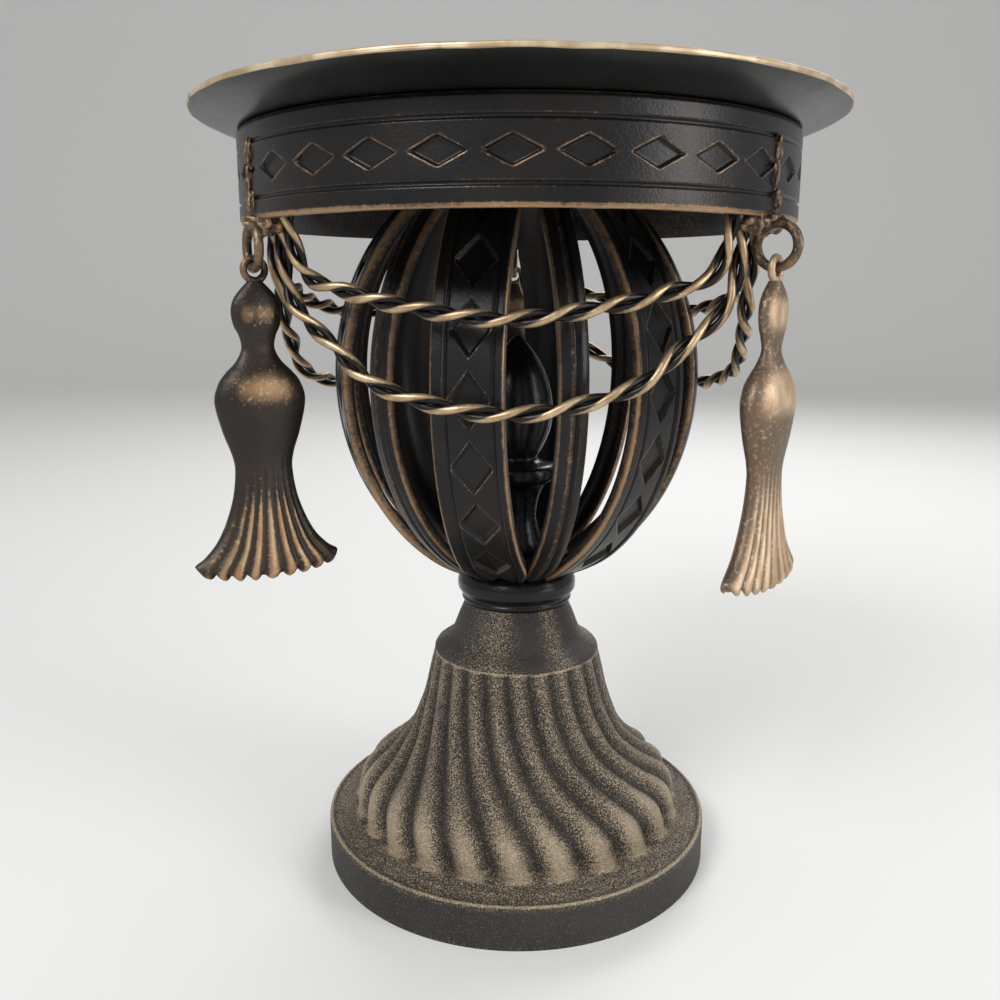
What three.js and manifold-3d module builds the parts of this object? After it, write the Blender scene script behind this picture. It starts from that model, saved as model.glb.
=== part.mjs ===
// A blackened bronze candle stand: a fluted foot, a caged ball of twelve straps round a finial,
// and a wide plate whose band carries twisted wire swags and three hanging tassels.
// Millimetres, +Z up, the origin under the middle of the foot. Azimuths run from the front (-Y) towards +X.
import * as THREE from 'three';
import { mergeVertices } from 'three/addons/utils/BufferGeometryUtils.js';
import Module from 'manifold-3d';

// General clearance between pieces that touch
const seatGap = 0.3;

// Foot casting
const footRadius = 64;
const footEdgeHeight = 14;
const footWall = 4;
const neckTopZ = 86.5;
const neckTopRadius = 17.3;
const shoulderRadius = 27.3;
const shoulderZ = 69.5;
const fluteEndRadius = 54.5;
const fluteEndZ = 17;
// Shares of the way down the bell, and there the shares of its widening and of its fall
const bellStations = [[0, 0, 0], [0.1, 0.0625, 0.125], [0.2, 0.129, 0.265], [0.3, 0.21, 0.39], [0.4, 0.3125, 0.515],
  [0.5, 0.445, 0.61], [0.6, 0.6, 0.69], [0.7, 0.79, 0.765], [0.8, 0.93, 0.84], [1, 1, 1]];
const fluteCount = 24;
const fluteDepth = 2.7;
const fluteTwist = 29.6 * Math.PI / 180;
const neckWeb = 8;

// Tie bolt, collar, cup and finial
const boltRadius = 3.1;
const boltHeadRadius = 6.5;
const boltHeadHeight = 4.7;
const boltBore = boltRadius + seatGap;
const collarHeight = 11.4;
const collarRadius = 19.4;
const cupHeight = 4.5;
const finialHeight = 70;
const budRadius = 11.4;
const saucerRadius = 13;
const finialSocket = 17;

// Cage of straps
const cageRadius = 56.5;
const cageHalfHeight = 66.67;
const cageEndRadius = 19.5;
const strapThickness = 3.5;
const wideStrapWidth = 20.5;
const narrowStrapWidth = 8.5;
const strapPairs = 6;
const strapSteps = 12;
const strapAngle = Math.PI / strapPairs;
const strapSideGap = 1.2;

// Plate and band
const plateRadius = 96;
const plateThickness = 1.2;
const plateLipRise = 6;
const bandRadius = 83;
const bandThickness = 3.3;
const bandHeight = 25;

// Rings and tassels
const ringOuterRadius = 6.9;
const ringWire = 1.3;
const eyeRadius = 2.9;
const eyeWire = 1;
const tasselWidth = 41;
const tasselThickness = 11;
const tasselLength = 86;
const hangerAzimuths = { left: -Math.PI / 3, right: 0.9, back: Math.PI };

// Swags
const swagWire = 1.05;
const swagWireGap = 0.4;
const twistPitch = 27;
const stepsPerTurn = 7;

// Heights that follow from the sizes above
const collarZ = neckTopZ + seatGap;
const cupZ = collarZ + collarHeight + seatGap;
const cageEndAngle = Math.acos(cageEndRadius / cageRadius);
const cageCentreZ = cupZ - 0.8 + cageHalfHeight * Math.sin(cageEndAngle);
const cageTopZ = cageCentreZ + cageHalfHeight * Math.sin(cageEndAngle);
const hubTopZ = cageTopZ + seatGap;
const plateFloorZ = hubTopZ + seatGap;
const bandTopZ = plateFloorZ + 7.2;
const bandBottomZ = bandTopZ - bandHeight;
const bandInner = bandRadius - bandThickness;
const ringCentreZ = bandBottomZ - seatGap - ringOuterRadius;
const ringMidRadius = ringOuterRadius - ringWire;
const eyeZ = ringCentreZ - ringMidRadius + ringWire + seatGap + eyeWire - eyeRadius;

const wasm = await Module();
wasm.setup();

function weld(geometry) {
  const bare = geometry.clone();
  bare.deleteAttribute('normal');
  bare.deleteAttribute('uv');
  return mergeVertices(bare, 1e-4);
}

function toManifold(geometry) {
  const welded = weld(geometry);
  const vertProperties = new Float32Array(welded.attributes.position.array);
  const triVerts = new Uint32Array(welded.index.array);
  return new wasm.Manifold(new wasm.Mesh({ numProp: 3, vertProperties, triVerts }));
}

function fromManifold(body) {
  const mesh = body.getMesh();
  const geometry = new THREE.BufferGeometry();
  geometry.setAttribute('position', new THREE.BufferAttribute(mesh.vertProperties, 3));
  geometry.setIndex(new THREE.BufferAttribute(mesh.triVerts, 1));
  return geometry;
}

// A closed body through rings of points. Capped at both ends, or joined last ring to first.
function loft(rings, joined) {
  const count = rings[0].length;
  const points = rings.flat();
  const index = [];
  const spans = joined ? rings.length : rings.length - 1;
  for (let i = 0; i < spans; i++) {
    const next = (i + 1) % rings.length;
    for (let j = 0; j < count; j++) {
      const k = (j + 1) % count;
      index.push(i * count + j, i * count + k, next * count + k);
      index.push(i * count + j, next * count + k, next * count + j);
    }
  }
  if (!joined) {
    const last = (rings.length - 1) * count;
    for (let j = 1; j < count - 1; j++) {
      index.push(0, j + 1, j);
      index.push(last, last + j, last + j + 1);
    }
  }
  const geometry = new THREE.BufferGeometry();
  geometry.setAttribute('position', new THREE.Float32BufferAttribute(points.flatMap((p) => [p.x, p.y, p.z]), 3));
  geometry.setIndex(index);
  return geometry;
}

// A round body from a profile of [radius, height] pairs, read upwards on the outside
function turned(profile, segments) {
  const points = profile.map(([r, z]) => new THREE.Vector2(r, z));
  return new THREE.LatheGeometry(points, segments).rotateX(Math.PI / 2);
}

// Foot: a bell of swirling flutes on a round base, hollow underneath
function footGeometry() {
  const bell = bellStations.map(([t, widening, fall]) => ({
    r: shoulderRadius + (fluteEndRadius - shoulderRadius) * widening,
    z: shoulderZ + (fluteEndZ - shoulderZ) * fall,
    t,
  }));
  const bore = [
    { r: boltBore, z: neckTopZ },
    { r: boltBore, z: neckTopZ - neckWeb },
    { r: neckTopRadius - footWall, z: neckTopZ - neckWeb },
    { r: shoulderRadius - 1.6 * footWall, z: shoulderZ - footWall },
    { r: bell[5].r - 2 * footWall, z: bell[5].z - 2 * footWall },
    { r: footRadius - 1.2 * footWall, z: footEdgeHeight - 1.5 * footWall },
    { r: footRadius - footWall, z: 0 },
  ];
  const outside = [
    { r: footRadius, z: 0 },
    { r: footRadius, z: footEdgeHeight - 0.8 },
    { r: footRadius - 1.5, z: footEdgeHeight },
    { r: fluteEndRadius + 1, z: footEdgeHeight + 1 },
    ...bell.slice().reverse(),
    { r: shoulderRadius - 2.2, z: shoulderZ + 3.2 },
    { r: neckTopRadius + 4.2, z: shoulderZ + 5.8 },
    { r: neckTopRadius + 1.8, z: neckTopZ - 4.7 },
    { r: neckTopRadius, z: neckTopZ },
  ];
  const samples = fluteCount * 3;
  const rings = [...outside, ...bore].map(({ r, z, t = 0 }) => {
    const depth = fluteDepth * Math.sin(Math.PI * Math.min(0.5, t)) ** 0.6;
    const swirl = fluteTwist * (t - Math.sin(2 * Math.PI * t) / (2 * Math.PI) * 0.6);
    return Array.from({ length: samples }, (unused, j) => {
      const angle = 2 * Math.PI * j / samples;
      const radius = r + depth * (0.5 * Math.cos(fluteCount * angle) - 0.5);
      const turn = angle + swirl - Math.PI / 2;
      return new THREE.Vector3(radius * Math.cos(turn), radius * Math.sin(turn), z);
    });
  });
  return loft(rings, true);
}

// Collar bead between the neck and the cage
function collarGeometry() {
  const top = collarZ + collarHeight;
  return turned([
    [boltBore, collarZ],
    [collarRadius - 2.6, collarZ],
    [collarRadius - 0.8, collarZ + 1.2],
    [collarRadius - 1.8, collarZ + 2.7],
    [collarRadius, collarZ + 5.2],
    [collarRadius, collarZ + 8],
    [collarRadius - 2.2, top],
    [boltBore, top],
    [boltBore, collarZ],
  ], 24);
}

// Round hub that the ends of the straps are welded to; the lower one is the cup, the upper one is turned over
function hubProfile(faceZ, up) {
  const inside = up ? 0 : boltBore;
  const wide = cageEndRadius - 1.3;
  const narrow = cageEndRadius - 2.6;
  const step = up ? -1 : 1;
  const profile = [
    [inside, faceZ],
    [wide, faceZ],
    [narrow, faceZ + step * cupHeight],
    [inside, faceZ + step * cupHeight],
  ];
  if (up) return profile.reverse();
  profile.push([inside, faceZ]);
  return profile;
}

// Finial: stem, saucer and pointed bud, with a blind socket for the bolt
function finialGeometry() {
  const base = cupZ + cupHeight + seatGap;
  const at = (share) => base + finialHeight * share;
  return turned([
    [0, base + finialSocket],
    [boltBore, base + finialSocket],
    [boltBore, base],
    [8.5, base],
    [9, at(0.05)],
    [6.5, at(0.16)],
    [7.5, at(0.27)],
    [saucerRadius - 2, at(0.35)],
    [saucerRadius, at(0.385)],
    [saucerRadius - 2, at(0.42)],
    [6.8, at(0.44)],
    [budRadius - 1.6, at(0.51)],
    [budRadius, at(0.62)],
    [budRadius - 0.6, at(0.72)],
    [budRadius - 4, at(0.86)],
    [0, at(1)],
  ], 20);
}

// Bolt from under the neck up into the finial
function boltGeometry() {
  const headTop = neckTopZ - neckWeb - seatGap;
  const tip = cupZ + cupHeight + finialSocket;
  return turned([
    [0, headTop - boltHeadHeight],
    [boltHeadRadius, headTop - boltHeadHeight],
    [boltHeadRadius, headTop],
    [boltRadius, headTop],
    [boltRadius, tip],
    [0, tip],
  ], 12);
}

// Strap of the cage: a bent strip that narrows where its neighbours crowd in at both ends
function strapGeometry(width) {
  const outer = [];
  const inner = [];
  for (let i = 0; i <= strapSteps; i++) {
    const angle = cageEndAngle * (2 * i / strapSteps - 1);
    const out = new THREE.Vector2(cageRadius * Math.cos(angle), cageHalfHeight * Math.sin(angle));
    const normal = new THREE.Vector2(Math.cos(angle) / cageRadius, Math.sin(angle) / cageHalfHeight).normalize();
    outer.push(out);
    inner.push(out.clone().addScaledVector(normal, -strapThickness));
  }
  const shape = new THREE.Shape([...outer, ...inner.reverse()]);
  const strip = new THREE.ExtrudeGeometry(shape, { depth: width, bevelEnabled: false });
  const crowding = (wideStrapWidth + narrowStrapWidth) / 2 / strapAngle + strapSideGap;
  const place = strip.attributes.position;
  for (let i = 0; i < place.count; i++) {
    const r = place.getX(i);
    const across = (width / 2 - place.getZ(i)) * Math.min(1, r / crowding);
    place.setXYZ(i, across, -r, cageCentreZ + place.getY(i));
  }
  return strip;
}

// Plate: a thin dish that drops inside the band and flares out over its top edge
function plateGeometry() {
  const floor = plateFloorZ;
  const inside = bandInner - 0.5;
  const over = bandTopZ + seatGap;
  const edge = over + plateLipRise;
  const t = plateThickness;
  return turned([
    [0, floor],
    [inside - 4, floor],
    [inside - 0.4, floor + 3],
    [inside, over],
    [bandRadius + 0.5, over + 0.4],
    [plateRadius, edge],
    [plateRadius, edge + t],
    [bandRadius, over + 0.4 + t],
    [inside - t, over + t],
    [inside - 0.4 - t, floor + 3 + t / 2],
    [inside - 4 - t / 2, floor + t],
    [0, floor + t],
  ], 48);
}

function bandGeometry() {
  return turned([
    [bandInner, bandBottomZ],
    [bandRadius, bandBottomZ],
    [bandRadius, bandTopZ],
    [bandInner, bandTopZ],
    [bandInner, bandBottomZ],
  ], 48);
}

// Tassel: a flat casting with an eye, a ball, a bulb, a waist and a flared skirt.
// Built round its eye, with its face looking along -Y.
function tasselGeometry() {
  const halfWidth = tasselWidth / 2;
  const halfThick = tasselThickness / 2;
  const form = [
    [0.036, 0.1, 0.3],
    [0.071, 0.24, 0.44],
    [0.135, 0.34, 0.51],
    [0.205, 0.263, 0.44],
    [0.245, 0.234, 0.36],
    [0.286, 0.317, 0.55],
    [0.356, 0.56, 0.95],
    [0.414, 0.62, 1.05],
    [0.507, 0.537, 0.87],
    [0.588, 0.424, 0.69],
    [0.647, 0.405, 0.64],
    [0.751, 0.478, 0.71],
    [0.879, 0.707, 0.87],
    [0.972, 1, 1],
    [1, 0.937, 0.87],
  ];
  const sides = 12;
  const rings = form.slice().reverse().map(([drop, wide, thick]) => Array.from({ length: sides }, (unused, j) => {
    const angle = 2 * Math.PI * j / sides;
    const x = halfWidth * wide * Math.cos(angle);
    const y = halfThick * thick * Math.sin(angle);
    return new THREE.Vector3(x, y, -drop * tasselLength);
  }));
  const eye = new THREE.TorusGeometry(eyeRadius, eyeWire, 6, 14).rotateX(Math.PI / 2);
  const casting = toManifold(loft(rings, false)).add(toManifold(eye));
  return fromManifold(casting);
}

// One wire of a twisted pair that follows a swag from ring to ring, built for a span whose middle is at the front
function swagWireGeometry(waypoints, side, halfSpan) {
  const half = waypoints.map(([azimuth, r, z]) => [azimuth * Math.PI / 180 + (halfSpan - Math.PI / 3) * azimuth / 60, r, z]);
  const whole = [...half.slice(1).reverse().map(([a, r, z]) => [-a, r, z]), ...half];
  const centre = new THREE.CatmullRomCurve3(whole.map(([a, r, z]) => new THREE.Vector3(
    r * Math.sin(a), -r * Math.cos(a), z)));
  const turns = Math.round(centre.getLength() / twistPitch);
  const steps = turns * stepsPerTurn;
  const offset = swagWire + swagWireGap / 2;
  const points = [];
  for (let i = 0; i <= steps; i++) {
    const t = i / steps;
    const at = centre.getPointAt(t);
    const along = centre.getTangentAt(t);
    const outward = new THREE.Vector3(at.x, at.y, 0).normalize();
    const across = outward.clone().cross(along).normalize();
    const level = along.clone().cross(across).normalize();
    const phase = 2 * Math.PI * turns * t + side * Math.PI;
    points.push(at.addScaledVector(level, offset * Math.cos(phase)).addScaledVector(across, offset * Math.sin(phase)));
  }
  const section = new THREE.Shape([[1, 0], [0, 1], [-1, 0], [0, -1]].map(([x, y]) => new THREE.Vector2(
    swagWire * x, swagWire * y)));
  const path = new THREE.CatmullRomCurve3(points);
  return new THREE.ExtrudeGeometry(section, { steps, extrudePath: path, bevelEnabled: false });
}

const group = new THREE.Group();

function addPiece(name, geometry, finish, azimuth = 0) {
  const material = new THREE.MeshStandardMaterial(finish);
  const piece = new THREE.Mesh(weld(geometry), material);
  piece.name = name;
  piece.rotation.z = azimuth;
  group.add(piece);
  return piece;
}

const castBronze = { color: 0x4a4038, roughness: 0.75, metalness: 0.6 };
const darkBronze = { color: 0x26262a, roughness: 0.4, metalness: 0.8 };
const strapBronze = { color: 0x40362c, roughness: 0.5, metalness: 0.75 };
const rubbedGold = { color: 0x8a7350, roughness: 0.4, metalness: 0.85 };
const plateBlack = { color: 0x2a2c2a, roughness: 0.35, metalness: 0.7 };

addPiece('foot_casting', footGeometry(), castBronze);
addPiece('tie_bolt', boltGeometry(), darkBronze);
addPiece('neck_collar', collarGeometry(), darkBronze);
addPiece('lower_cup', turned(hubProfile(cupZ, false), 24), darkBronze);
addPiece('finial', finialGeometry(), darkBronze);
addPiece('top_hub', turned(hubProfile(hubTopZ, true), 24), darkBronze);
addPiece('plate', plateGeometry(), plateBlack);
addPiece('band', bandGeometry(), strapBronze);
for (let i = 0; i < strapPairs; i++) {
  const azimuth = 2 * i * strapAngle;
  addPiece(`wide_strap_${i + 1}`, strapGeometry(wideStrapWidth), strapBronze, azimuth - strapAngle / 2);
  addPiece(`narrow_strap_${i + 1}`, strapGeometry(narrowStrapWidth), strapBronze, azimuth + strapAngle / 2);
}

// The left ring hangs square to the others, so its tassel shows its face to the front
const hangers = [
  { side: 'left', azimuth: hangerAzimuths.left, twist: Math.PI / 2, radius: bandRadius + 0.2 },
  { side: 'right', azimuth: hangerAzimuths.right, twist: 0, radius: bandRadius + 1.5 },
  { side: 'back', azimuth: hangerAzimuths.back, twist: 0, radius: bandRadius + 1.5 },
];
for (const { side, azimuth, twist, radius } of hangers) {
  const ring = new THREE.TorusGeometry(ringMidRadius, ringWire, 6, 14).rotateX(Math.PI / 2).rotateZ(Math.PI / 2);
  const ringPiece = addPiece(`ring_${side}`, ring, castBronze, azimuth + twist);
  ringPiece.position.set(radius * Math.sin(azimuth), -radius * Math.cos(azimuth), ringCentreZ);
  const tassel = addPiece(`tassel_${side}`, tasselGeometry(), rubbedGold, azimuth + twist);
  tassel.position.set(radius * Math.sin(azimuth), -radius * Math.cos(azimuth), eyeZ);
}

// Each waypoint is azimuth in degrees from the middle of a third of a turn, radius, height
const endZ = bandBottomZ + 2.3;
const endRadius = bandInner - 2.7;
const swags = {
  upper: [[0, 62, 179.8], [28, 64, 183.4], [40.7, 67, 186.4], [52, 72.5, 191.5], [53.7, endRadius, endZ]],
  lower: [[0, 62.5, 155.6], [30.6, 66, 161.5], [45, 70, 172.8], [56, 74.5, 185], [57.4, endRadius, endZ]],
};
const { left, right, back } = hangerAzimuths;
const spans = [['front', left, right], ['right', right, back], ['left', back, left + 2 * Math.PI]];
for (const [span, start, end] of spans) {
  const azimuth = (start + end) / 2;
  const halfSpan = (end - start) / 2;
  for (const [level, waypoints] of Object.entries(swags)) {
    addPiece(`swag_${span}_${level}_wire_a`, swagWireGeometry(waypoints, 0, halfSpan), rubbedGold, azimuth);
    addPiece(`swag_${span}_${level}_wire_b`, swagWireGeometry(waypoints, 1, halfSpan), rubbedGold, azimuth);
  }
}

export default group;
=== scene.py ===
import bpy
import bmesh
import numpy as np
from math import pi, sin, cos, radians, acos
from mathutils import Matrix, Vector, noise


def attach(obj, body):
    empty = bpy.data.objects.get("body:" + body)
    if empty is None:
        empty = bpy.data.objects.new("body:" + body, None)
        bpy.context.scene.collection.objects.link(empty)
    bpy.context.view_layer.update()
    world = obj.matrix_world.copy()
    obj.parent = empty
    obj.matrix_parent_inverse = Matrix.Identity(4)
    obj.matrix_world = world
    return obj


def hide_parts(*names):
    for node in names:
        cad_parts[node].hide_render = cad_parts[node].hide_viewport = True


# A blackened bronze candle stand, dressed piece by piece round its frame.
# Sizes are millimetres here and are turned into metres where a mesh is made.
# Azimuths are counted from the front, which is -Y, towards +X.
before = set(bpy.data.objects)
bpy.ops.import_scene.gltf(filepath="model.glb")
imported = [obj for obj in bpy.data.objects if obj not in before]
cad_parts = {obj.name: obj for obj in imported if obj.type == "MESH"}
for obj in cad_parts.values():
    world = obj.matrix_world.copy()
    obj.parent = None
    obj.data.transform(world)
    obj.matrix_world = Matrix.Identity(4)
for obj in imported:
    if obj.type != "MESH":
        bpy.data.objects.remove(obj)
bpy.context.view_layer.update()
mm = 0.001
print("frame loaded")

# Camera at the height and distance of the photograph, in metres
shot = {"place": (-0.0055, -0.315, 0.1875), "pitch": 12.12, "lens": 35.43, "sensor": 36, "near": 0.01}
cameraData = bpy.data.cameras.new("shotCamera")
cameraData.lens = shot["lens"]
cameraData.sensor_width = shot["sensor"]
cameraData.clip_start = shot["near"]
camera = bpy.data.objects.new("shotCamera", cameraData)
camera.location = shot["place"]
camera.rotation_euler = (radians(90 - shot["pitch"]), 0, 0)
bpy.context.scene.collection.objects.link(camera)
bpy.context.scene.camera = camera


# A smooth line through the given points
def smoothPath(points, steps):
    p = np.array(points, float)
    p = np.vstack([2 * p[0] - p[1], p, 2 * p[-1] - p[-2]])
    spans = len(p) - 3
    out = []
    for t in np.linspace(0, spans, steps):
        i = min(int(t), spans - 1)
        u = t - i
        a, b, c, d = p[i:i + 4]
        square = 2 * a - 5 * b + 4 * c - d
        cube = 3 * b - a - 3 * c + d
        out.append(0.5 * (2 * b + (c - a) * u + square * u ** 2 + cube * u ** 3))
    return np.array(out)


def softStep(value, low, high):
    t = np.clip((value - low) / (high - low), 0, 1)
    return t * t * (3 - 2 * t)


# 1 within flat of the place, fading to 0 at the reach
def softRidge(value, place, reach, flat=0):
    return softStep(-np.abs(value - place), -reach, -flat)


def unitLength(vectors):
    return vectors / np.linalg.norm(vectors, axis=1, keepdims=True)


def around(radius, angle, height):
    return np.stack([radius * np.cos(angle), radius * np.sin(angle), height + 0 * angle], -1)


def turnPoints(points, azimuth):
    c, s = cos(azimuth), sin(azimuth)
    turned = points.copy()
    turned[..., 0] = points[..., 0] * c - points[..., 1] * s
    turned[..., 1] = points[..., 0] * s + points[..., 1] * c
    return turned


# A closed mesh from a grid of points in millimetres, rubbed gold where rub is high
def gridPiece(name, points, rub, nodes, finish, body="stand", loopAlong=False, capped=True):
    rows, columns = points.shape[:2]
    i, j = np.meshgrid(np.arange(rows if loopAlong else rows - 1), np.arange(columns), indexing="ij")
    up, side = (i + 1) % rows, (j + 1) % columns
    faces = np.stack([i * columns + j, i * columns + side, up * columns + side, up * columns + j], -1)
    faces = faces.reshape(-1, 4).tolist()
    if capped and not loopAlong:
        faces.append(list(range(columns))[::-1])
        faces.append([(rows - 1) * columns + k for k in range(columns)])
    mesh = bpy.data.meshes.new(name)
    mesh.from_pydata((points.reshape(-1, 3) * mm).tolist(), [], faces)
    worn = mesh.attributes.new("rub", "FLOAT", "POINT")
    worn.data.foreach_set("value", np.broadcast_to(rub, (rows, columns)).reshape(-1).astype(np.float32))
    work = bmesh.new()
    work.from_mesh(mesh)
    bmesh.ops.remove_doubles(work, verts=work.verts, dist=1e-6)
    bmesh.ops.recalc_face_normals(work, faces=work.faces)
    work.to_mesh(mesh)
    work.free()
    mesh.polygons.foreach_set("use_smooth", [True] * len(mesh.polygons))
    piece = bpy.data.objects.new(name, mesh)
    bpy.context.scene.collection.objects.link(piece)
    mesh.materials.append(finish)
    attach(piece, body)
    if nodes:
        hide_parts(*nodes)


# What all the finishes share: the scale of the large patches, how sharp an edge counts as fully
# worn, how much brush marks and patches vary the wear, and how much the grain adds to the roughness
wear = {"patch": 45, "sharpest": 0.56, "brushShare": 0.9, "patchShare": 0.7, "roughGrain": 0.12}


# Blackened metal with a second colour rubbed onto its raised places
def rubbedMetal(name, look):
    material = bpy.data.materials.new(name)
    material.use_nodes = True
    tree = material.node_tree
    tree.nodes.clear()

    def add(kind, **values):
        node = tree.nodes.new(kind)
        for key, value in values.items():
            setattr(node, key, value)
        return node

    def math(operation, a, b):
        node = add("ShaderNodeMath", operation=operation)
        for socket, value in zip(node.inputs, (a, b)):
            if isinstance(value, (int, float)):
                socket.default_value = value
            else:
                tree.links.new(value, socket)
        return node.outputs[0]

    def remap(value, low, high, toLow=0.0, toHigh=1.0):
        node = add("ShaderNodeMapRange", interpolation_type="SMOOTHSTEP")
        tree.links.new(value, node.inputs[0])
        for k, number in enumerate((low, high, toLow, toHigh)):
            node.inputs[k + 1].default_value = number
        return node.outputs[0]

    coords = add("ShaderNodeTexCoord").outputs["Object"]

    def grain(scale, detail, stretch=1.0):
        mapping = add("ShaderNodeMapping")
        tree.links.new(coords, mapping.inputs[0])
        mapping.inputs["Scale"].default_value = (1, 1, stretch)
        node = add("ShaderNodeTexNoise")
        tree.links.new(mapping.outputs[0], node.inputs["Vector"])
        node.inputs["Scale"].default_value = scale
        node.inputs["Detail"].default_value = detail
        return node.outputs[0]

    def blend(factor, a, b):
        node = add("ShaderNodeMix", data_type="RGBA")
        tree.links.new(factor, node.inputs[0])
        for socket, value in ((node.inputs[6], a), (node.inputs[7], b)):
            if isinstance(value, tuple):
                socket.default_value = (*value, 1)
            else:
                tree.links.new(value, socket)
        return node.outputs[2]

    rub = add("ShaderNodeAttribute", attribute_name="rub").outputs["Fac"]
    fine = grain(look["grain"], 5)
    brush = grain(look["brush"], 4, look.get("stretch", 1))
    patch = grain(wear["patch"], 3)
    edge = remap(add("ShaderNodeNewGeometry").outputs["Pointiness"], 0.5, wear["sharpest"])
    raised = math("ADD", math("MULTIPLY", rub, look["rub"]), math("MULTIPLY", edge, look["edgeRub"]))
    brushWear = math("MULTIPLY", brush, wear["brushShare"])
    uneven = math("ADD", brushWear, math("MULTIPLY", patch, wear["patchShare"]))
    worn = math("MULTIPLY", raised, uneven)
    specks = remap(fine, look.get("speckLow", 0.5), look.get("speckHigh", 0.75))
    mask = remap(math("ADD", worn, math("MULTIPLY", specks, look["speck"])), look["low"], look["high"])
    dark = blend(remap(patch, 0.3, 0.7), look["dark"], look["dark2"])
    gold = blend(remap(brush, 0.35, 0.65), look["gold"], look["gold2"])
    shader = add("ShaderNodeBsdfPrincipled")
    tree.links.new(blend(mask, dark, gold), shader.inputs["Base Color"])
    shader.inputs["Metallic"].default_value = look["metallic"]
    smooth = remap(mask, 0, 1, look["rough"], look["roughGold"])
    roughness = math("ADD", smooth, math("MULTIPLY", fine, wear["roughGrain"]))
    tree.links.new(roughness, shader.inputs["Roughness"])
    bump = add("ShaderNodeBump")
    bump.inputs["Strength"].default_value = look["bump"]
    bump.inputs["Distance"].default_value = look["bumpSize"] * mm
    tree.links.new(math("ADD", fine, math("MULTIPLY", brush, 0.5)), bump.inputs["Height"])
    tree.links.new(bump.outputs[0], shader.inputs["Normal"])
    output = add("ShaderNodeOutputMaterial")
    tree.links.new(shader.outputs[0], output.inputs[0])
    return material


black, copper = (0.016, 0.016, 0.018), (0.36, 0.2, 0.1)
castFinish = rubbedMetal("sandCastBronze", {
    "grain": 2300, "brush": 900, "rub": 0.8, "edgeRub": 0.2,
    "speck": 0.6, "speckLow": 0.4, "speckHigh": 0.66, "low": 0.24, "high": 0.95,
    "dark": (0.028, 0.026, 0.024), "dark2": (0.045, 0.041, 0.037),
    "gold": (0.52, 0.41, 0.27), "gold2": (0.35, 0.28, 0.2),
    "metallic": 0.45, "rough": 0.5, "roughGold": 0.42, "bump": 1.0, "bumpSize": 0.7})
darkFinish = rubbedMetal("glossyBlackBronze", {
    "grain": 700, "brush": 200, "rub": 0.7, "edgeRub": 0.2, "speck": 0.15, "low": 0.4, "high": 1.0,
    "dark": black, "dark2": (0.022, 0.022, 0.025), "gold": (0.2, 0.14, 0.08), "gold2": copper,
    "metallic": 0.7, "rough": 0.2, "roughGold": 0.4, "bump": 0.35, "bumpSize": 0.25})
strapFinish = rubbedMetal("rubbedStrapBronze", {
    "grain": 1300, "brush": 500, "rub": 1.0, "edgeRub": 0.35, "speck": 0.25, "low": 0.36, "high": 1.1,
    "dark": black, "dark2": (0.026, 0.023, 0.021), "gold": (0.42, 0.3, 0.18), "gold2": copper,
    "metallic": 0.7, "rough": 0.28, "roughGold": 0.38, "bump": 0.4, "bumpSize": 0.2})
plateFinish = rubbedMetal("smoothPlateBlack", {
    "grain": 500, "brush": 120, "rub": 1.3, "edgeRub": 0.1, "speck": 0.06, "low": 0.4, "high": 0.8,
    "dark": (0.016, 0.018, 0.017), "dark2": (0.026, 0.03, 0.027),
    "gold": (0.68, 0.56, 0.38), "gold2": (0.42, 0.3, 0.18),
    "metallic": 0.6, "rough": 0.24, "roughGold": 0.4, "bump": 0.2, "bumpSize": 0.2})
ropeFinish = rubbedMetal("rubbedWireGold", {
    "grain": 900, "brush": 260, "rub": 1.25, "edgeRub": 0.0, "speck": 0.2, "low": 0.3, "high": 0.95,
    "dark": black, "dark2": (0.03, 0.025, 0.021), "gold": (0.62, 0.46, 0.28), "gold2": (0.4, 0.27, 0.15),
    "metallic": 0.75, "rough": 0.3, "roughGold": 0.34, "bump": 0.3, "bumpSize": 0.2})
tasselFinish = rubbedMetal("brushedTasselBronze", {
    "grain": 1000, "brush": 420, "stretch": 0.16, "rub": 1.0, "edgeRub": 0.35,
    "speck": 0.25, "low": 0.36, "high": 0.95,
    "dark": (0.028, 0.023, 0.02), "dark2": (0.045, 0.034, 0.026), "gold": (0.5, 0.36, 0.21), "gold2": copper,
    "metallic": 0.65, "rough": 0.36, "roughGold": 0.4, "bump": 0.5, "bumpSize": 0.3})
paleTasselFinish = rubbedMetal("paleTasselBronze", {
    "grain": 1000, "brush": 260, "stretch": 0.3, "rub": 1.4, "edgeRub": 0.3,
    "speck": 0.3, "low": 0.1, "high": 0.8,
    "dark": (0.12, 0.08, 0.05), "dark2": (0.08, 0.055, 0.04),
    "gold": (0.62, 0.47, 0.32), "gold2": (0.42, 0.28, 0.17),
    "metallic": 0.6, "rough": 0.4, "roughGold": 0.42, "bump": 0.4, "bumpSize": 0.3})
print("finishes made")

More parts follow.
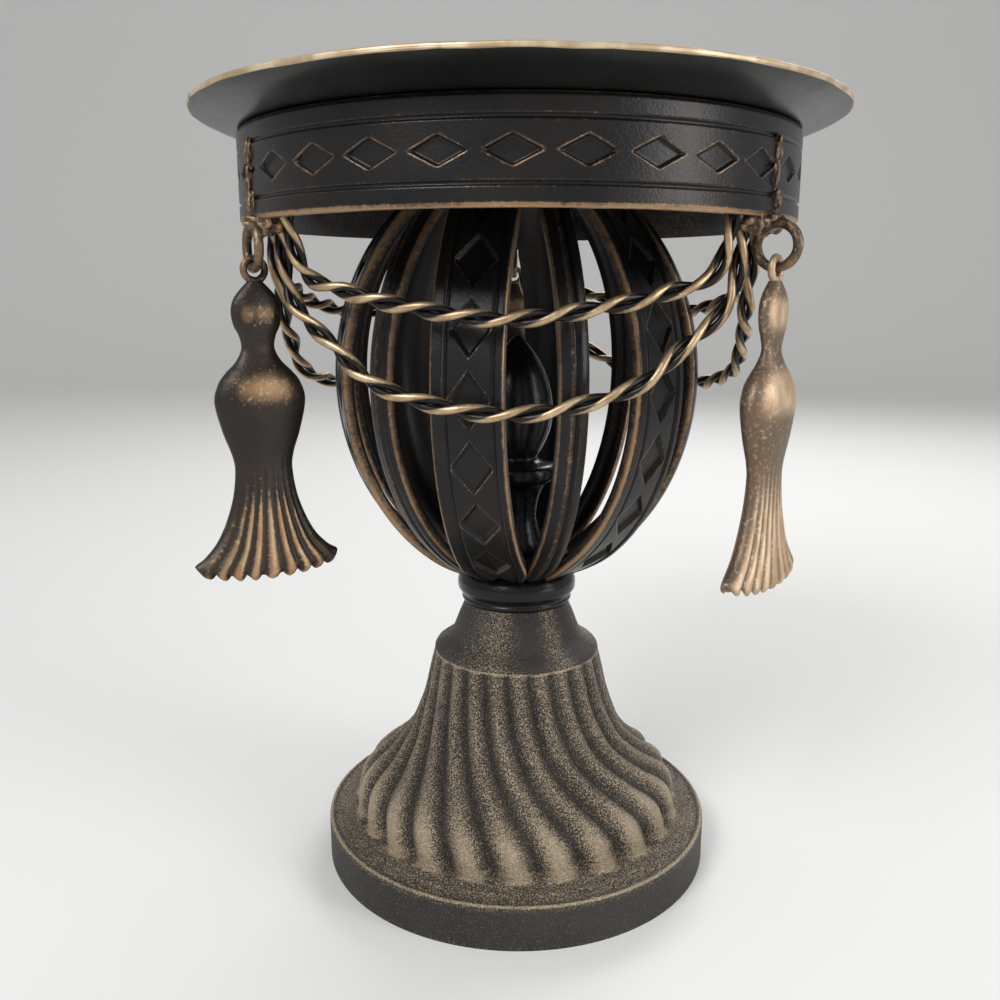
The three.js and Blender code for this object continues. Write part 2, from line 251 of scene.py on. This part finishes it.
# Foot: swirling flutes that end in round lobes on a gritty ring. Profiles are radius and height.
foot = {"flutes": 24, "depth": 2.9, "deeperLobe": 0.45, "lobeFrom": 0.62, "swirl": 29.6, "columns": 24 * 18,
        "grit": ((0.9, 0.16), (0.25, 0.2)), "gritLift": 0.7, "rimRadius": 63.6,
        "ringRows": 60, "bellRows": 130, "neckRows": 50,
        "ring": [(64, 0), (64, 6), (64, 12.6), (63.5, 13.7), (62.5, 14), (61.4, 13.6), (59, 14), (58.3, 14.6),
                 (56.6, 14.8), (55.8, 15.3)],
        "bell": [(54.6, 15.6), (54.3, 20), (52.6, 25.5), (48.8, 29.6), (43.6, 33.4), (39.4, 37.6),
                 (35.8, 42.5), (33, 49), (30.8, 55.5), (29, 63), (27.4, 69.5)],
        "neck": [(27.2, 69.9), (27.3, 70.6), (26.6, 71.7), (24.8, 73), (21.9, 75), (20.3, 78.4), (18.9, 82),
                 (17.6, 85), (17.3, 86.5)],
        "bore": [(3.4, 86.5), (3.4, 78.5), (13.3, 78.5), (20.9, 65.5), (31.4, 29.5), (40, 22), (57, 8),
                 (60, 0)]}


def makeFoot():
    angle = np.linspace(0, 2 * pi, foot["columns"], endpoint=False)
    line = np.vstack([smoothPath(foot[part], foot[part + "Rows"]) for part in ("ring", "bell", "neck")]
                     + [foot["bore"]])
    row = np.arange(len(line))
    neckFrom = foot["ringRows"] + foot["bellRows"]
    boreFrom = neckFrom + foot["neckRows"]
    inBell = (row >= foot["ringRows"]) & (row < neckFrom)
    onNeck = (row >= neckFrom) & (row < boreFrom)
    down = np.zeros(len(line))  # share of the way down the bell
    down[inBell] = 1 - np.linspace(0, 1, foot["bellRows"])
    swirl = radians(foot["swirl"]) * (down - 0.6 * np.sin(2 * pi * down) / (2 * pi))
    lobe = np.abs(np.cos(foot["flutes"] * (angle[None, :] - swirl[:, None] + pi / 2) / 2)) ** 0.7
    fade = np.clip(np.sin(pi * down ** 0.75), 0, 1) ** 0.45
    lobeEnd = 1 + foot["deeperLobe"] * softStep(down, 0.7, 0.95)
    depth = foot["depth"] * np.where(down > foot["lobeFrom"], lobeEnd, fade)
    slope = np.gradient(line, axis=0)
    normal = np.stack([slope[:, 1], -slope[:, 0]], -1)
    normal /= np.maximum(np.linalg.norm(normal, axis=1, keepdims=True), 1e-6)
    sink = depth[:, None] * (1 - lobe)
    radius = line[:, :1] - sink * normal[:, :1]
    height = line[:, 1:2] - sink * np.where(down > 0.93, 0, 1)[:, None] * normal[:, 1:2]
    points = around(radius, angle, height)
    flat = points.reshape(-1, 3)
    grit = np.array([sum(noise.noise(Vector(p) * scale) * size for scale, size in foot["grit"])
                     for p in flat])
    outside = np.repeat(row < boreFrom, foot["columns"]) & (flat[:, 2] > 0.5)
    gritty = outside & (np.hypot(flat[:, 0], flat[:, 1]) < foot["rimRadius"])
    flat[:, 2] += np.where(gritty, grit, 0) * foot["gritLift"]
    points = flat.reshape(points.shape)

    # Gold on the rim's ridge, the flat ring, the seam under the neck and the lobes, but not on the wall
    reach, rise = line.T
    ridge = softStep(-np.abs(reach - 63.3) - 2 * np.abs(rise - 13.7), -1.6, 0) * (reach > 61)
    flatRing = 0.3 * ((reach > 54.5) & (reach < 62) & (rise > 12))
    wall = -0.25 * ((reach > 63.8) & (rise < 12.5))
    seam = 0.9 * softRidge(rise, 69.8, 0.6) * (reach < 40)
    neckBrush = np.array([noise.noise(Vector((cos(a) * 2.2, sin(a) * 2.2, 0.4))) for a in angle])
    bulb = 0.45 + 0.5 * softRidge(down, 0.86, 0.3)
    rub = (ridge + flatRing + wall + seam)[:, None] + onNeck[:, None] * (neckBrush * 0.7 - 0.02)
    rub = rub + inBell[:, None] * (lobe ** 2.2 * bulb[:, None] * 1.15 - 0.1)
    gridPiece("footBell", points, rub, ["foot_casting"], castFinish, loopAlong=True)


# Bead over the neck and bud inside the cage, both turned
bead = {"rub": 0.25, "rows": 120, "columns": 128,
        "profile": [(3.4, 86.8), (12, 86.8), (16.6, 86.85), (17.7, 87.2), (18.1, 88), (17.8, 88.9),
                    (18.3, 89.8), (19.2, 91), (19.45, 92.6), (19.3, 94.4), (18.2, 96.6), (16.4, 98),
                    (12, 98.2), (3.4, 98.2)]}
finial = {"rub": 0.3, "rows": 200, "columns": 128,
          "profile": [(0, 120.3), (3.4, 120.3), (3.4, 103.5), (8.5, 103.3), (9, 105.5), (7.6, 109.5),
                      (6.3, 114.5), (7, 120.5), (9, 125), (12.3, 127.5), (13, 129.7), (12, 131.9),
                      (8, 133.1), (6.6, 134.5),
                      (8.2, 137.5), (10.4, 142.5), (11.4, 147.9), (11, 154.5), (9, 161.5), (5.4, 168),
                      (1.6, 172.3), (0, 173.2)]}


def turnedPiece(name, node, shape, loopAlong=False):
    line = smoothPath(shape["profile"], shape["rows"])
    angle = np.linspace(0, 2 * pi, shape["columns"], endpoint=False)
    points = around(np.maximum(line[:, :1], 0), angle, line[:, 1:2])
    gridPiece(name, points, shape["rub"], [node], darkFinish, loopAlong=loopAlong,
              capped=False)


makeFoot()
turnedPiece("neckBead", "neck_collar", bead, loopAlong=True)
turnedPiece("budFinial", "finial", finial)
for name in ("tie_bolt", "lower_cup", "top_hub"):
    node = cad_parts[name]
    node.data.materials.clear()
    node.data.materials.append(darkFinish)
print("foot and finial made")

# Cage of straps. Places across a strap are shares of its width, counted from its middle.
cage = {"radius": 56.5, "half": 66.67, "centre": 160.274, "end": 19.5, "thick": 3.5, "pairs": 6, "gap": 1.2,
        "apart": 15, "rows": 220, "corner": 0.45, "back": [[0.49, 0, -0.49]], "backRub": 0.02}
wideStrap = {"width": 20.5, "samples": 64, "panel": (-0.285, 0.34), "panelSunk": 0.2,
             "grooves": (-0.3, 0.355), "grooveSunk": 0.75,
             "diamondPitch": 19.2, "diamondMiddle": 0.0275, "diamondHalf": 0.29, "steepness": 1.22,
             "diamondSunk": 1.15}
narrowStrap = {"width": 8.5, "samples": 28, "groove": 0.1, "grooveSunk": 0.9, "crown": 0.9}
crowding = (wideStrap["width"] + narrowStrap["width"]) / 2 / (pi / cage["pairs"]) + cage["gap"]


def wideFace(across, along):
    low, high = wideStrap["panel"]
    panel = (across > low) & (across < high)
    groove = wideStrap["grooveSunk"] * sum(softRidge(across, g, 0.035, 0.01) for g in wideStrap["grooves"])
    middle = (across - wideStrap["diamondMiddle"]) / wideStrap["diamondHalf"]
    step = np.abs((along / wideStrap["diamondPitch"] + 0.5) % 1 - 0.5) * 2
    inside = 1 - np.abs(middle) - step * wideStrap["steepness"]
    diamond = wideStrap["diamondSunk"] * softStep(inside, 0.0, 0.12) * panel
    rim = softRidge(inside, -0.04, 0.1) * panel
    rub = 0.22 + 0.36 * rim - 0.2 * softStep(inside, 0.02, 0.1) + 0.6 * softStep(np.abs(across), 0.45, 0.495)
    return groove + diamond + wideStrap["panelSunk"] * panel, rub


def narrowFace(across, along):
    groove = narrowStrap["grooveSunk"] * softRidge(across, narrowStrap["groove"], 0.09, 0.02)
    crown = narrowStrap["crown"] * (np.abs(across) * 2) ** 3
    rub = 0.25 + 0.45 * softRidge(across, -0.1, 0.12) + 0.35 * softStep(np.abs(across), 0.4, 0.48)
    return groove + crown + 0 * along, rub + 0 * along


def makeStrap(name, node, strap, face, azimuth):
    limit = acos(cage["end"] / cage["radius"])
    turn = np.linspace(-limit, limit, cage["rows"])[:, None]
    x, z = cage["radius"] * np.cos(turn), cage["half"] * np.sin(turn)
    nx, nz = np.cos(turn) / cage["radius"], np.sin(turn) / cage["half"]
    size = np.hypot(nx, nz)
    nx, nz = nx / size, nz / size
    along = np.concatenate([[0], np.cumsum(np.hypot(np.diff(x[:, 0]), np.diff(z[:, 0])))])[:, None]
    along = along - along[-1] / 2 + wideStrap["diamondPitch"] * 0.1
    across = np.linspace(-0.5, 0.5, strap["samples"])[None, :]
    sunk, rub = face(across, along)
    front = sunk + cage["corner"] * softStep(np.abs(across), 0.47, 0.5)
    backShape = (cage["rows"], len(cage["back"][0]))
    deep = np.hstack([front, np.full(backShape, cage["thick"])])
    wide = np.hstack([np.repeat(across, cage["rows"], 0), np.repeat(cage["back"], cage["rows"], 0)])
    rubAll = np.hstack([rub + 0 * along, np.full(backShape, cage["backRub"])])
    radius, height = x - nx * deep, z - nz * deep
    spread = wide * strap["width"] * np.minimum(1, radius / crowding)
    points = np.stack([spread, -radius, cage["centre"] + height], -1)
    gridPiece(name, turnPoints(points, azimuth), rubAll, [node], strapFinish)


for k in range(cage["pairs"]):
    middle = 2 * pi * k / cage["pairs"]
    aside = radians(cage["apart"])
    makeStrap(f"diamondStrap{k + 1}", f"wide_strap_{k + 1}", wideStrap, wideFace, middle - aside)
    makeStrap(f"groovedStrap{k + 1}", f"narrow_strap_{k + 1}", narrowStrap, narrowFace, middle + aside)
print("cage made")

# Band with two grooves and a row of sunk diamonds. Heights on its face are shares of the whole.
band = {"outer": 83, "thick": 3.3, "low": 205.64, "high": 230.64, "rows": 84, "columns": 1080,
        "grooves": (0.212, 0.788), "grooveSunk": 0.7,
        "diamonds": 30, "shift": 0.15, "wide": 0.83, "tall": 0.29, "diamondSunk": 1.1,
        "edgeSunk": 0.5, "insideRub": 0.1}


def makeBand():
    angle = np.linspace(0, 2 * pi, band["columns"], endpoint=False)
    up = np.linspace(0, 1, band["rows"])[:, None]
    groove = band["grooveSunk"] * sum(softRidge(up, g, 0.03, 0.008) for g in band["grooves"])
    cell = np.abs((angle * band["diamonds"] / (2 * pi) + band["shift"]) % 1 - 0.5) * 2
    inside = 1 - cell / band["wide"] - np.abs(up - 0.5) * 2 / band["tall"]
    diamond = band["diamondSunk"] * softStep(inside, 0.0, 0.14)
    rim = softRidge(inside, -0.06, 0.16)
    edge = softStep(np.abs(up - 0.5), 0.46, 0.495)
    radius = band["outer"] - groove - diamond - band["edgeSunk"] * edge
    lowerEdge = softStep(0.07 - up, 0, 0.05)
    rub = 0.26 + 0.3 * rim - 0.15 * softStep(inside, 0.02, 0.1) + 0.7 * lowerEdge + 0.15 * edge
    outer = around(radius, angle, band["low"] + up * (band["high"] - band["low"]))
    middle = (band["low"] + band["high"]) / 2
    inner = [around(band["outer"] - band["thick"], angle, z) for z in (band["high"], middle, band["low"])]
    points = np.concatenate([outer, np.array(inner)])
    rubAll = np.concatenate([rub + 0 * angle, np.full((len(inner), len(angle)), band["insideRub"])])
    gridPiece("diamondBand", points, rubAll, ["band"], strapFinish, loopAlong=True)


# Plate that sits in the band, with a slightly uneven worn rim. Its profile is radius and height.
plate = {"radius": 96, "unevenFrom": 88, "rows": 210, "columns": 360, "pull": 0.4, "lift": 0.2, "lower": 0.3,
         "waves": 6, "wornFrom": 95.2, "wornTo": 95.95,
         "profile": [(0, 223.44), (60, 223.44), (74.6, 223.5), (78, 225.4), (78.9, 228), (79.2, 230.7),
                     (80.4, 231.1), (83.5, 231.35), (88, 233), (92.5, 235), (95.6, 236.8), (96, 237.4),
                     (95.8, 238.1), (95, 238.1), (91.5, 236.4), (87, 234.3), (82.5, 232.5), (79.5, 232.2),
                     (77.9, 231.6), (77.6, 228.2), (76.8, 226), (74.2, 224.7), (60, 224.64), (0, 224.64)]}


def makePlate():
    line = smoothPath(plate["profile"], plate["rows"])
    angle = np.linspace(0, 2 * pi, plate["columns"], endpoint=False)
    wave = np.array([noise.noise(Vector((cos(a), sin(a), 0.3)) * plate["waves"]) for a in angle])
    edge = softStep(line[:, :1], plate["unevenFrom"], plate["radius"])
    radius = np.maximum(line[:, :1], 0) - edge * np.abs(wave) * plate["pull"]
    height = line[:, 1:2] + edge * (wave * plate["lift"] - plate["lower"])
    points = around(np.minimum(radius, plate["radius"]), angle, height)
    rub = softStep(line[:, :1], plate["wornFrom"], plate["wornTo"]) * (0.75 + 0.6 * np.abs(wave))
    gridPiece("candlePlate", points, rub, ["plate"], plateFinish, capped=False)


makeBand()
makePlate()
print("band and plate made")

# Rings under the band, at these azimuths, carry the tassels and the ends of the swags
hanger = {"left": -pi / 3, "right": 0.9, "back": pi}

# Twisted wires of the swags. A waypoint is an azimuth in degrees, a radius and a height. The azimuth
# counts from the middle of a span of twice the half span here, and other spans stretch it.
swag = {"wire": 1.05, "fuller": 1.12, "gap": 0.4, "pitch": 27, "sides": 12, "stepsPerTurn": 30,
        "samples": 900, "halfSpan": 60,
        "upper": [(0, 62, 179.8), (28, 64, 183.4), (40.7, 67, 186.4), (52, 72.5, 191.5), (53.7, 77, 207.94)],
        "lower": [(0, 62.5, 155.6), (30.6, 66, 161.5), (45, 70, 172.8), (56, 74.5, 185), (57.4, 77, 207.94)]}


def ropeCentre(waypoints, halfSpan):
    half = [(a * halfSpan / radians(swag["halfSpan"]), r, z) for a, r, z in waypoints]
    both = [(-a, r, z) for a, r, z in half[:0:-1]] + half
    return smoothPath([(r * sin(radians(a)), -r * cos(radians(a)), z) for a, r, z in both], swag["samples"])


def makeWire(name, node, waypoints, side, azimuth, halfSpan):
    centre = ropeCentre(waypoints, halfSpan)
    length = np.concatenate([[0], np.cumsum(np.linalg.norm(np.diff(centre, axis=0), axis=1))])
    turns = round(length[-1] / swag["pitch"])
    at = np.linspace(0, length[-1], turns * swag["stepsPerTurn"])
    centre = np.stack([np.interp(at, length, centre[:, k]) for k in range(3)], -1)
    along = unitLength(np.gradient(centre, axis=0))
    across = unitLength(np.cross(centre * (1, 1, 0), along))
    level = np.cross(along, across)
    phase = (2 * pi * turns * at / length[-1] + side * pi)[:, None]
    offset = swag["wire"] + swag["gap"] / 2
    strand = centre + offset * (level * np.cos(phase) + across * np.sin(phase))
    run = unitLength(np.gradient(strand, axis=0))
    away = strand - centre
    away = unitLength(away - run * np.sum(away * run, axis=1, keepdims=True))
    beside = np.cross(run, away)
    ring = np.linspace(0, 2 * pi, swag["sides"], endpoint=False)[None, :, None]
    section = away[:, None] * np.cos(ring) + beside[:, None] * np.sin(ring)
    points = strand[:, None] + swag["fuller"] * swag["wire"] * section
    rub = softStep(np.cos(ring[..., 0]), -0.3, 0.9) * 0.95 + 0 * phase
    gridPiece(name, turnPoints(points, azimuth), rub, [node], ropeFinish)


for span, start, end in (("front", hanger["left"], hanger["right"]),
                         ("right", hanger["right"], hanger["back"]),
                         ("left", hanger["back"], hanger["left"] + 2 * pi)):
    for level in ("upper", "lower"):
        for side, letter in enumerate("ab"):
            makeWire(f"{span}{level.title()}Wire{letter.upper()}", f"swag_{span}_{level}_wire_{letter}",
                     swag[level], side, (start + end) / 2, (end - start) / 2)
print("swags made")

# Rings and tassels. The form is the drop below the eye as a share of the length, then the width and
# the thickness as shares of the tassel's own.
tassel = {"width": 41, "thick": 11, "length": 86, "eyeZ": 192.54, "eye": 2.9, "eyeWire": 1.0,
          "ringZ": 198.44, "ringMid": 5.6, "ringWire": 1.3, "lumpy": 0.12, "wireRub": 0.5,
          "scallops": 9, "ribCut": 0.2, "scallopRise": 1.9, "cornerRise": 2.2, "rows": 200, "columns": 144,
          "form": [(0.036, 0.1, 0.3), (0.071, 0.24, 0.44), (0.1, 0.315, 0.5), (0.135, 0.34, 0.51),
                   (0.175, 0.31, 0.48), (0.205, 0.25, 0.42), (0.245, 0.225, 0.36), (0.286, 0.31, 0.55),
                   (0.32, 0.45, 0.78), (0.356, 0.56, 0.95), (0.414, 0.62, 1.0), (0.507, 0.537, 0.87),
                   (0.588, 0.424, 0.69), (0.647, 0.4, 0.64), (0.751, 0.478, 0.71), (0.879, 0.707, 0.87),
                   (0.965, 0.985, 0.98), (0.99, 1.0, 0.9), (1, 0.94, 0.7)]}


def torusPoints(mid, wire, steps=64, sides=16, seed=0.0):
    u = np.linspace(0, 2 * pi, steps, endpoint=False)[:, None]
    v = np.linspace(0, 2 * pi, sides, endpoint=False)[None, :]
    lump = np.array([[noise.noise(Vector((cos(a) * 2 + seed, sin(a) * 2, 0))) for a in u[:, 0]]]).T
    wire = wire * (1 + lump * tassel["lumpy"])
    radius = mid + wire * np.cos(v)
    return np.stack([radius * np.cos(u), wire * np.sin(v), radius * np.sin(u)], -1)


def makeTassel(side, azimuth, twist, radius, finish):
    centre = np.array([radius * sin(azimuth), -radius * cos(azimuth), 0])
    turn = azimuth + twist
    ring = turnPoints(torusPoints(tassel["ringMid"], tassel["ringWire"], seed=azimuth), turn + pi / 2)
    gridPiece(f"{side}Ring", ring + centre + (0, 0, tassel["ringZ"]), tassel["wireRub"], [f"ring_{side}"],
              tasselFinish, loopAlong=True)
    form = smoothPath(tassel["form"], tassel["rows"])
    drop, wide, thick = form[:, :1], form[:, 1:2], form[:, 2:3]
    angle = np.linspace(0, 2 * pi, tassel["columns"], endpoint=False)[None, :]
    u = np.cos(angle)
    ribs = np.abs(np.sin(u * tassel["scallops"] * pi / 2 + pi / 2))
    strength = softStep(drop, 0.56, 0.85)
    cut = strength * tassel["ribCut"] * (1 - ribs) * softStep(1 - np.abs(u), 0.02, 0.25)
    x = tassel["width"] / 2 * wide * np.sign(u) * np.abs(u) ** 0.9 * (1 - 0.02 * cut)
    y = tassel["thick"] / 2 * thick * np.sin(angle) * (1 - cut)
    scallops = softStep(drop, 0.93, 1) * (1 - ribs) * tassel["scallopRise"]
    corners = softStep(drop, 0.8, 1) * u ** 2 * tassel["cornerRise"]
    z = -drop * tassel["length"] + scallops + corners
    eyePlace = centre + (0, 0, tassel["eyeZ"])
    face = softStep(1 - np.abs(u), 0, 0.6)
    raised = softRidge(drop, 0.135, 0.07) + softRidge(drop, 0.37, 0.1)
    rub = 0.22 + 0.6 * raised * face + 0.75 * ribs ** 2 * strength * (0.35 + 0.65 * face)
    body = f"tassel_{side}"
    gridPiece(f"{side}Tassel", turnPoints(np.stack([x, y, z], -1), turn) + eyePlace, rub, [f"tassel_{side}"],
              finish, body)
    eye = turnPoints(torusPoints(tassel["eye"], tassel["eyeWire"]), turn) + eyePlace
    gridPiece(f"{side}TasselEye", eye, tassel["wireRub"], [], finish, body, loopAlong=True)


# Weld metal at each ring: degrees from the ring, radius, height, and the lump's half sizes
weld = {"rows": 26, "columns": 40, "bulge": 0.35, "scale": 1.7, "rub": 0.55,
        "lumps": [(0, 82.1, 205.2, (3.6, 3, 2)), (-3.4, 79.8, 204.4, (3.6, 3.1, 3.2)),
                  (3.4, 79.8, 204.4, (3.6, 3.1, 3.2)), (0.6, 82.9, 210, (1.5, 1.3, 3)),
                  (-0.4, 83, 216, (1.3, 1.2, 3.4)), (0.3, 82.9, 222.5, (1.4, 1.2, 3.6))]}


def makeLump(name, place, size, seed):
    u = np.linspace(0, pi, weld["rows"])[:, None]
    v = np.linspace(0, 2 * pi, weld["columns"], endpoint=False)[None, :]
    ball = np.stack([np.sin(u) * np.cos(v), np.sin(u) * np.sin(v), np.cos(u) + 0 * v], -1)
    shift = Vector((seed, 0, 0))
    bulge = np.array([1 + weld["bulge"] * noise.noise(Vector(p) * weld["scale"] + shift)
                      for p in ball.reshape(-1, 3)])
    points = ball * bulge.reshape(weld["rows"], weld["columns"], 1) * size + place
    gridPiece(name, points, weld["rub"], [], tasselFinish, capped=False)


for side, twist, radius, finish in (("left", pi / 2, 83.2, tasselFinish),
                                    ("right", 0, 84.5, paleTasselFinish),
                                    ("back", 0, 84.5, tasselFinish)):
    azimuth = hanger[side]
    makeTassel(side, azimuth, twist, radius, finish)
    for k, (turn, r, z, size) in enumerate(weld["lumps"]):
        at = azimuth + radians(turn)
        makeLump(f"{side}Weld{k + 1}", (r * sin(at), -r * cos(at), z), size, azimuth + k)
print("tassels and welds made")

# Pale floor that curves up behind, and soft lamps, in metres and watts
studio = {"floor": (0.72, 0.72, 0.71), "rough": 0.7, "world": 0.55, "near": -3.0, "depth": 1.6, "side": 3.0,
          "bend": 0.8, "top": 4.0, "aim": (0, 0, 0.12),
          "lamps": {"keyLamp": ((-0.55, -0.75, 0.95), (0.5, 0.5), 9),
                    "fillLamp": ((0.9, -0.5, 0.45), (0.35, 0.7), 5),
                    "backLamp": ((0.3, 0.9, 0.8), (0.7, 0.4), 6)}}


def makeFloor():
    depth, bend = studio["depth"], studio["bend"]
    rise = [(studio["near"], 0), (depth, 0)]
    rise += [(depth + sin(a) * bend, bend - cos(a) * bend) for a in np.linspace(0.1, pi / 2, 16)]
    rise.append((depth + bend, studio["top"]))
    verts = [(x, y, z) for y, z in rise for x in (-studio["side"], studio["side"])]
    faces = [(2 * k, 2 * k + 1, 2 * k + 3, 2 * k + 2) for k in range(len(rise) - 1)]
    mesh = bpy.data.meshes.new("studioFloor")
    mesh.from_pydata(verts, [], faces)
    mesh.polygons.foreach_set("use_smooth", [True] * len(faces))
    floor = bpy.data.objects.new("studioFloor", mesh)
    bpy.context.scene.collection.objects.link(floor)
    paper = bpy.data.materials.new("palePaper")
    paper.use_nodes = True
    shader = paper.node_tree.nodes["Principled BSDF"]
    shader.inputs["Base Color"].default_value = (*studio["floor"], 1)
    shader.inputs["Roughness"].default_value = studio["rough"]
    mesh.materials.append(paper)


def makeLamp(name, place, size, energy):
    data = bpy.data.lights.new(name, "AREA")
    data.shape = "RECTANGLE"
    data.size, data.size_y = size
    data.energy = energy
    lamp = bpy.data.objects.new(name, data)
    lamp.location = place
    lamp.rotation_euler = (Vector(studio["aim"]) - Vector(place)).to_track_quat("-Z", "Y").to_euler()
    bpy.context.scene.collection.objects.link(lamp)


makeFloor()
for name, (place, size, energy) in studio["lamps"].items():
    makeLamp(name, place, size, energy)
world = bpy.data.worlds.new("studioWorld")
world.use_nodes = True
world.node_tree.nodes["Background"].inputs["Color"].default_value = (1, 1, 1, 1)
world.node_tree.nodes["Background"].inputs["Strength"].default_value = studio["world"]
bpy.context.scene.world = world
bpy.context.scene.view_settings.view_transform = "Standard"
print("studio made")
